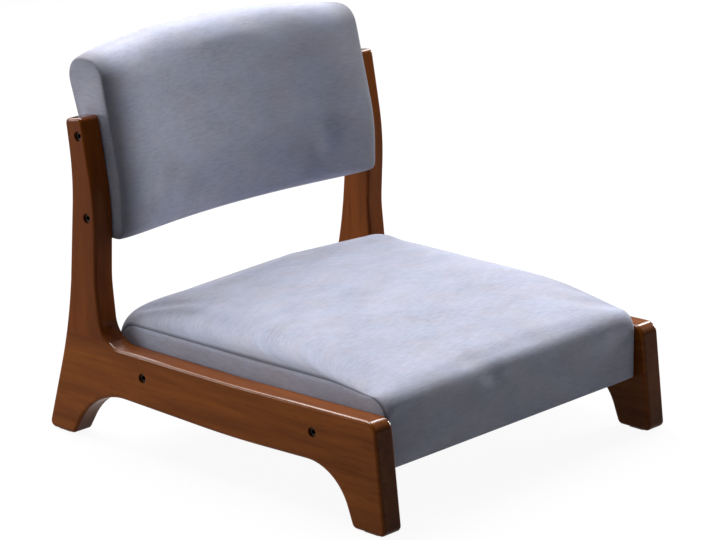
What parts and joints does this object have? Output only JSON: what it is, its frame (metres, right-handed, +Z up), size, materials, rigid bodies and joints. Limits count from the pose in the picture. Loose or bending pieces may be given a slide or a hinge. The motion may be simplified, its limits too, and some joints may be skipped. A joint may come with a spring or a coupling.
{
  "type": "low floor chair",
  "caption": "Low floor chair with shaped wooden side frames, an upholstered seat pad and a curved upholstered backrest bolted between them.",
  "frame": {"origin": "middle of the footprint, on the floor", "axes": "+Z up, the sitter faces -Y with the backrest at +Y, +X is to the right seen from the front"},
  "size_m": [0.46, 0.511, 0.4317],
  "materials": {
    "frame_wood": "red-brown walnut stain under lacquer",
    "dowel_wood": "plain beech",
    "core_wood": "planed softwood, unfinished",
    "plywood": "unfinished plywood",
    "cover_fabric": "blue-grey heathered linen-look weave",
    "dust_cloth": "black non-woven cloth",
    "foam": "open-cell foam",
    "bolt_steel": "black oxide",
    "insert_steel": "yellow zinc-plated",
    "foot_pad": "brown felt"
  },
  "bodies": {
    "root": {"back_cleat_left": "core_wood", "back_cleat_right": "core_wood", "back_cover": "cover_fabric", "back_front_foam": "foam", "back_panel": "plywood", "back_rear_foam": "foam", "front_left_foot_pad": "foot_pad", "front_right_foot_pad": "foot_pad", "left_back_bolts": "bolt_steel", "left_back_inserts": "insert_steel", "left_back_post": "frame_wood", "left_post_dowels": "dowel_wood", "left_seat_bolts": "bolt_steel", "left_seat_inserts": "insert_steel", "left_side_rail": "frame_wood", "rear_left_foot_pad": "foot_pad", "rear_right_foot_pad": "foot_pad", "right_back_bolts": "bolt_steel", "right_back_inserts": "insert_steel", "right_back_post": "frame_wood", "right_post_dowels": "dowel_wood", "right_seat_bolts": "bolt_steel", "right_seat_inserts": "insert_steel", "right_side_rail": "frame_wood", "seat_corner_blocks": "core_wood", "seat_cover": "cover_fabric", "seat_deck": "plywood", "seat_dust_cover": "dust_cloth", "seat_foam": "foam", "seat_frame_front": "core_wood", "seat_frame_left": "core_wood", "seat_frame_rear": "core_wood", "seat_frame_right": "core_wood"}
  },
  "joints": []
}
